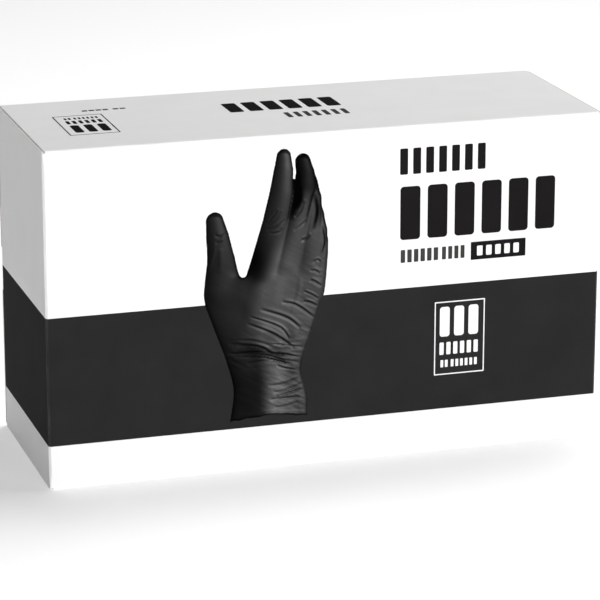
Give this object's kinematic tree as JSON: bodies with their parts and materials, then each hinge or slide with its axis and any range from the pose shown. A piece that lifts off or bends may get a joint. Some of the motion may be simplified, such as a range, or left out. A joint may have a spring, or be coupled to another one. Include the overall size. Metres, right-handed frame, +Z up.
{
  "type": "disposable glove carton",
  "caption": "Folding carton of disposable gloves with tuck-in end flaps, dust flaps and a tear-open dispensing flap in the back, filled with flat gloves.",
  "frame": {"origin": "centre of the base, on the surface that the carton stands on", "axes": "+X along the carton's length to its right end, +Y from the printed front to the dispensing back, +Z up"},
  "size_m": [0.225, 0.081, 0.134],
  "materials": {
    "printed_board": "satin",
    "plain_board": "matte",
    "printing_ink": "satin",
    "seam_glue": "satin",
    "nitrile_glove": "satin"
  },
  "bodies": {
    "carton": {"front_panel": "printed_board", "top_panel": "printed_board", "back_panel": "printed_board", "bottom_panel": "printed_board", "glue_flap": "plain_board", "glue_line": "seam_glue", "glove_bundle_1": "nitrile_glove", "glove_bundle_2": "nitrile_glove", "glove_bundle_3": "nitrile_glove", "glove_bundle_4": "nitrile_glove", "glove_bundle_5": "nitrile_glove", "glove_bundle_6": "nitrile_glove", "glove_bundle_7": "nitrile_glove", "glove_bundle_8": "nitrile_glove", "glove_bundle_9": "nitrile_glove", "glove_bundle_10": "nitrile_glove"},
    "left_end": {"left_end_flap": "printed_board"},
    "left_tongue": {"left_tuck_tongue": "plain_board"},
    "left_upper_dust": {"left_upper_dust_flap": "plain_board"},
    "left_lower_dust": {"left_lower_dust_flap": "plain_board"},
    "right_end": {"right_end_flap": "printed_board"},
    "right_tongue": {"right_tuck_tongue": "plain_board"},
    "right_upper_dust": {"right_upper_dust_flap": "plain_board"},
    "right_lower_dust": {"right_lower_dust_flap": "plain_board"},
    "dispenser": {"dispenser_flap": "printed_board"},
    "tab": {"push_tab": "printed_board"}
  },
  "joints": [
    {"name": "left_end_hinge", "type": "hinge", "parent": "carton", "child": "left_end", "pos_m": [-0.11225, -0.04025, 0.067], "axis": [0, 0, 1], "range_deg": [0, 135]},
    {"name": "left_tongue_hinge", "type": "hinge", "parent": "left_end", "child": "left_tongue", "pos_m": [-0.11225, 0.0396, 0.067], "axis": [0, 0, 1], "range_deg": [0, 54]},
    {"name": "left_upper_dust_hinge", "type": "hinge", "parent": "carton", "child": "left_upper_dust", "pos_m": [-0.1116, 0, 0.13375], "axis": [0, 1, 0], "range_deg": [0, 87.75]},
    {"name": "left_lower_dust_hinge", "type": "hinge", "parent": "carton", "child": "left_lower_dust", "pos_m": [-0.1116, 0, 0.00025], "axis": [0, -1, 0], "range_deg": [0, 87.75]},
    {"name": "right_end_hinge", "type": "hinge", "parent": "carton", "child": "right_end", "pos_m": [0.11225, -0.04025, 0.067], "axis": [0, 0, -1], "range_deg": [0, 135]},
    {"name": "right_tongue_hinge", "type": "hinge", "parent": "right_end", "child": "right_tongue", "pos_m": [0.11225, 0.0396, 0.067], "axis": [0, 0, -1], "range_deg": [0, 54]},
    {"name": "right_upper_dust_hinge", "type": "hinge", "parent": "carton", "child": "right_upper_dust", "pos_m": [0.1116, 0, 0.13375], "axis": [0, -1, 0], "range_deg": [0, 87.75]},
    {"name": "right_lower_dust_hinge", "type": "hinge", "parent": "carton", "child": "right_lower_dust", "pos_m": [0.1116, 0, 0.00025], "axis": [0, 1, 0], "range_deg": [0, 87.75]},
    {"name": "dispenser_hinge", "type": "hinge", "parent": "carton", "child": "dispenser", "pos_m": [0, 0.0404, 0.09], "axis": [1, 0, 0], "range_deg": [0, 135]},
    {"name": "push_tab_hinge", "type": "hinge", "parent": "dispenser", "child": "tab", "pos_m": [0, 0.04025, 0.05625], "axis": [-1, 0, 0], "range_deg": [0, 35]}
  ],
  "couplings": [
    {"joint": "left_tongue_hinge", "follows": "left_end_hinge", "ratio": 0.4},
    {"joint": "left_upper_dust_hinge", "follows": "left_end_hinge", "ratio": 0.65},
    {"joint": "left_lower_dust_hinge", "follows": "left_end_hinge", "ratio": 0.65},
    {"joint": "right_tongue_hinge", "follows": "right_end_hinge", "ratio": 0.4},
    {"joint": "right_upper_dust_hinge", "follows": "right_end_hinge", "ratio": 0.65},
    {"joint": "right_lower_dust_hinge", "follows": "right_end_hinge", "ratio": 0.65}
  ]
}
